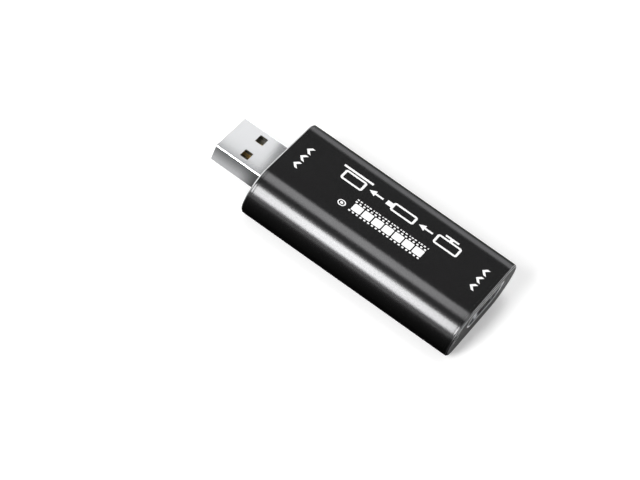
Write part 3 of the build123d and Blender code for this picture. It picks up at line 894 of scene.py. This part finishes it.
def film_strip():
    """Film with seven frames between its rows of perforations, a dot in a ring, and a row of ticks."""
    frame_pitch, frame_length = 2.62, 2.3
    hole_pitch, hole_length = 0.985, 0.5
    tick_pitch, long_tick, short_tick = 0.78, 0.5, 0.28
    ring_x, ring_y = -4.05, 3.4
    made = []
    for step in range(7):
        y = -16.9 + step * frame_pitch
        made.append(ink_pad(-4.1, y, -1.85, y + frame_length, 0.25))
    for step in range(19):
        y = -16.85 + step * hole_pitch
        made.append(ink_pad(-4.8, y, -4.36, y + hole_length, 0.1))
        made.append(ink_pad(-1.59, y, -1.15, y + hole_length, 0.1))
    made.append(ink_disc(ring_x, ring_y, 0.95, 32, 0.26))
    made.append(ink_disc(ring_x, ring_y, 0.36, 20))
    for step in range(24):
        y = -17.1 + step * tick_pitch
        made.append(ink_bar(-0.74, y, -0.4, y + (long_tick if step % 3 else short_tick)))
    return made


def device_row():
    """A screen, an arrow, the stick, an arrow and a computer, in outline, with their feet toward +X."""
    line, arrow_x, arrow_reach, arrow_head = 0.52, 3.9, 3.6, 1.05
    return [
        ink_frame(1.9, -22.6, 5.1, -16.4, line),
        ink_bar(5.1, -19.9, 5.58, -19.1),
        ink_bar(5.58, -21.2, 6.1, -17.8),
        *ink_arrow(arrow_x, -15.5, arrow_reach, line, arrow_head),
        ink_frame(2.5, -11.0, 5.3, -4.9, line),
        ink_bar(3.2, -4.9, 4.6, -3.5),
        *ink_arrow(arrow_x, -2.6, arrow_reach, line, arrow_head),
        ink_frame(1.9, 2.1, 5.1, 7.7, line),
        ink_bar(5.5, 1.1, 6.1, 8.7),
    ]


def print_marks():
    made = flow_marks() + film_strip() + device_row()
    activate(made[0])
    for mark in made:
        mark.select_set(True)
    bpy.ops.object.join()
    piece = bpy.context.active_object
    piece.name = "white_print"
    bpy.ops.object.mode_set(mode="EDIT")
    pick_all()
    bpy.ops.mesh.extrude_region_move(TRANSFORM_OT_translate={"value": (0, 0, ink_thickness)})
    hand_over(piece, ink, "stick")


print_marks()

# Floor, lamps and camera

aim = Vector((0, -6 * mm, 6 * mm))


def lay_floor():
    """A pale table that also glows, to all but diffuse and shadow rays, and less so near the stick."""
    dim_radius, dim_blur = 0.4, 0.3
    clear_bench()
    bpy.ops.mesh.primitive_plane_add(size=6)
    floor = bpy.context.active_object
    floor.name = "floor"
    finish = Finish("pale_floor", Roughness=0.9, Specular_IOR_Level=0.0, Base_Color=(0.82, 0.82, 0.82))
    camera, glossy, through = (
        finish.node("ShaderNodeLightPath", output=f"Is {ray} Ray")
        for ray in ("Camera", "Glossy", "Transmission")
    )
    far = (finish.x ** 2 + finish.y ** 2) ** 0.5
    strength = 0.3 + 0.7 * far.above(dim_radius, dim_blur)
    glow = finish.node("ShaderNodeEmission", None, {0: (1, 1, 1), 1: (camera + glossy + through) * strength})
    both = finish.node("ShaderNodeAddShader", None, {0: glow, 1: Value(finish, finish.shader.outputs[0])})
    finish.join(both, finish.tree.nodes["Material Output"].inputs["Surface"])
    floor.data.materials.append(finish.material)


def lay_painted_reflection_card(name, low_x, low_y, high_x, high_y=80):
    """A dark card on the table that only glossy surfaces mirror: a painted reflection, dark on the stick's
    lower sides, and on the plug's side paler but darker towards the plug's root.
    """
    level = 0.15
    clear_bench()
    low, high = Vector((low_x, low_y, level)) * mm, Vector((high_x, high_y, level)) * mm
    bpy.ops.mesh.primitive_plane_add(size=1, location=(low + high) / 2)
    card = bpy.context.active_object
    card.name = name
    card.scale = high - low + Vector((0, 0, 1))
    bpy.ops.object.transform_apply(location=True, rotation=True, scale=True)
    finish = Finish(name, Roughness=0.9)
    # Painted reflection: paler towards the plug, so the plug's side mirrors paler below, and dark near the
    # plug's root, which paints a shade there
    pale = finish.x.above(-10.6 * mm, 3.5 * mm) * finish.y.above(25.2 * mm, 2.5 * mm)
    finish.sets(Base_Color=finish.blend(pale, (0.04, 0.04, 0.04), (0.66, 0.66, 0.66)))
    card.data.materials.append(finish.material)
    for rays in ("camera", "diffuse", "shadow"):
        setattr(card, "visible_" + rays, False)


def hang_softbox(name, direction, distance, across, along, radiance, centre=aim):
    """A softbox that faces its centre, so far across the stick's direction and so far along it."""
    out = Vector(direction).normalized()
    ahead = Vector((0, 1, 0))
    ahead = (ahead - out * ahead.dot(out)).normalized()
    lamp = bpy.data.lights.new(name, "AREA")
    lamp.shape = "RECTANGLE"
    lamp.size = along
    lamp.size_y = across
    lamp.energy = radiance * pi * across * along
    softbox = bpy.data.objects.new(name, lamp)
    bpy.context.scene.collection.objects.link(softbox)
    softbox.location = centre + out * distance
    softbox.rotation_euler = Matrix((ahead, out.cross(ahead), out)).transposed().to_euler()
    softbox.visible_camera = False


def light_room():
    """A studio that is white at its horizon, as the floor is, and dim overhead."""
    world = bpy.data.worlds.new("studio")
    world.use_nodes = True
    bpy.context.scene.world = world
    room = Graph(world.node_tree)
    height = room.axis(room.node("ShaderNodeTexCoord", output="Generated"), "Z")
    ramp = {"stops": ((0.0, 1.0), (0.1, 0.9), (0.22, 0.42), (0.7, 0.28))}
    level = room.node("ShaderNodeValToRGB", ramp, {0: height})
    room.join(level, room.tree.nodes["Background"].inputs["Color"])


def stand_camera():
    camera = bpy.data.cameras.new("photo_view")
    camera.lens = 151.0162
    camera.sensor_width = 36
    camera.clip_start = 0.01
    view = bpy.data.objects.new("photo_view", camera)
    bpy.context.scene.collection.objects.link(view)
    view.location = (-0.3978084, -0.0906948, 0.4068882)
    view.rotation_euler = (radians(41.91361), radians(-17.69319), radians(-57.75333))
    bpy.context.scene.camera = view


lay_floor()
# Dark cards that only show in reflections: painted reflections and painted shade on the stick and plug
lay_painted_reflection_card("near_side_painted_reflection", low_x=-100, low_y=-80, high_x=-10)
lay_painted_reflection_card("plug_painted_reflection", low_x=-10, low_y=19, high_x=-2)
lay_painted_reflection_card("far_side_painted_reflection", low_x=10, low_y=-33, high_x=100, high_y=55)
light_room()
hang_softbox(
    "key_strip", (-0.847, 0.157, 0.504), distance=0.5, across=0.28, along=0.13, radiance=27.5
)
hang_softbox(
    "overhead_strip", (0.144, 0.157, 0.976), distance=0.5, across=0.3, along=0.14, radiance=5.8
)
hang_softbox(
    "far_side_panel", (0.955, 0.157, 0.22), distance=0.6, across=0.38, along=0.3, radiance=3.3
)
hang_softbox(
    "plug_panel", (0.69, 0.17, 0.70), distance=0.02, across=0.012, along=0.018, radiance=0.9,
    centre=Vector((3.2, 33.1, 7)) * mm,
)
stand_camera()
bpy.context.scene.view_settings.view_transform = "Standard"
